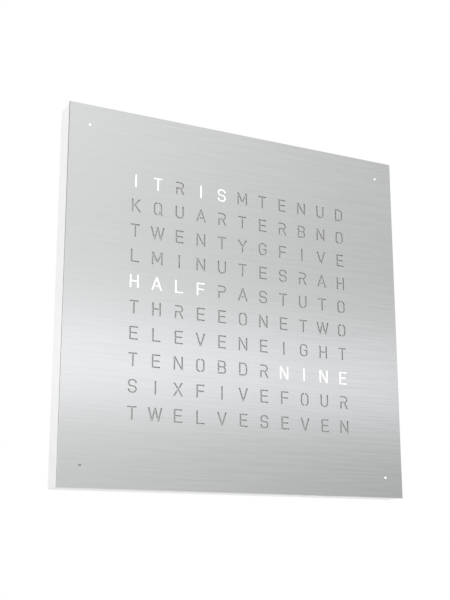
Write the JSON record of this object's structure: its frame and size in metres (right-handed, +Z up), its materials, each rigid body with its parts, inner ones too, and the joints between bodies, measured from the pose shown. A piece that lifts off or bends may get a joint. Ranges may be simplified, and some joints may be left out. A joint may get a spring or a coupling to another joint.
{
  "type": "word clock",
  "caption": "Square wall clock that tells the time in lit words: a brushed steel cover held by magnets on a shallow white lacquered case.",
  "frame": {"origin": "middle of the flat back of the clock, on the wall plane", "axes": "+X to the right as the clock is read, +Y towards the wall (the front looks along -Y), +Z up"},
  "size_m": [0.45, 0.034, 0.45],
  "materials": {
    "brushed_cover": "stainless steel, fine horizontal brushing",
    "diffuser": "opal film, lit words glow white",
    "white_lacquer": "fibreboard under white satin lacquer, no grain showing",
    "plated_steel": "zinc plated",
    "nickel": "nickel plated",
    "brass": "turned",
    "white_moulding": "moulded, fine matt",
    "tape": "thin foam tape",
    "white_board": "circuit board with white mask",
    "led": "white LED",
    "chip_black": "moulded black",
    "lead_white": "PVC",
    "lead_grey": "flat ribbon",
    "lead_black": "PVC",
    "panel_grey": "moulded, fine texture",
    "connector_cream": "nylon",
    "green_board": "circuit board with green mask",
    "button_white": "moulded",
    "plunger_grey": "moulded"
  },
  "bodies": {
    "clock_case": {"case_frame": "white_lacquer", "holding_magnets": "nickel", "pin_bushes": "brass", "light_grid": "white_moulding", "grid_tape": "tape", "led_board": "white_board", "letter_leds": "led", "led_driver_chips": "chip_black", "light_sensor": "chip_black", "minute_boards": "white_board", "minute_leds": "led", "minute_leads": "lead_white", "back_panel": "panel_grey", "back_panel_screws": "plated_steel", "hanger_plates": "plated_steel", "power_socket": "chip_black", "socket_pin": "nickel", "power_lead": "lead_black", "power_connector": "connector_cream", "control_board": "green_board", "microcontroller": "chip_black", "quartz_crystal": "nickel", "cell_holder": "chip_black", "coin_cell": "nickel", "link_header": "chip_black", "button_board": "green_board", "board_brackets": "white_moulding", "tact_switches": "chip_black", "button_ribbon": "lead_grey", "button_connector": "connector_cream"},
    "cover": {"front_cover": "brushed_cover", "diffuser_sheet": "diffuser", "strike_plates": "plated_steel", "cover_pins": "plated_steel"},
    "hour_key": {"hour_button": "button_white", "hour_plunger": "plunger_grey"},
    "minute_key": {"minute_button": "button_white", "minute_plunger": "plunger_grey"},
    "mode_key": {"mode_button": "button_white", "mode_plunger": "plunger_grey"},
    "brightness_key": {"brightness_button": "button_white", "brightness_plunger": "plunger_grey"}
  },
  "joints": [
    {"name": "cover_lift", "type": "slide", "parent": "clock_case", "child": "cover", "axis": [0, -1, 0], "range_m": [0, 0.06]},
    {"name": "hour_press", "type": "slide", "parent": "clock_case", "child": "hour_key", "axis": [0, 0, 1], "range_m": [0, 0.0008], "stiffness_N_per_m": 2000},
    {"name": "minute_press", "type": "slide", "parent": "clock_case", "child": "minute_key", "axis": [0, 0, 1], "range_m": [0, 0.0008], "stiffness_N_per_m": 2000},
    {"name": "mode_press", "type": "slide", "parent": "clock_case", "child": "mode_key", "axis": [0, 0, 1], "range_m": [0, 0.0008], "stiffness_N_per_m": 2000},
    {"name": "brightness_press", "type": "slide", "parent": "clock_case", "child": "brightness_key", "axis": [0, 0, 1], "range_m": [0, 0.0008], "stiffness_N_per_m": 2000}
  ]
}
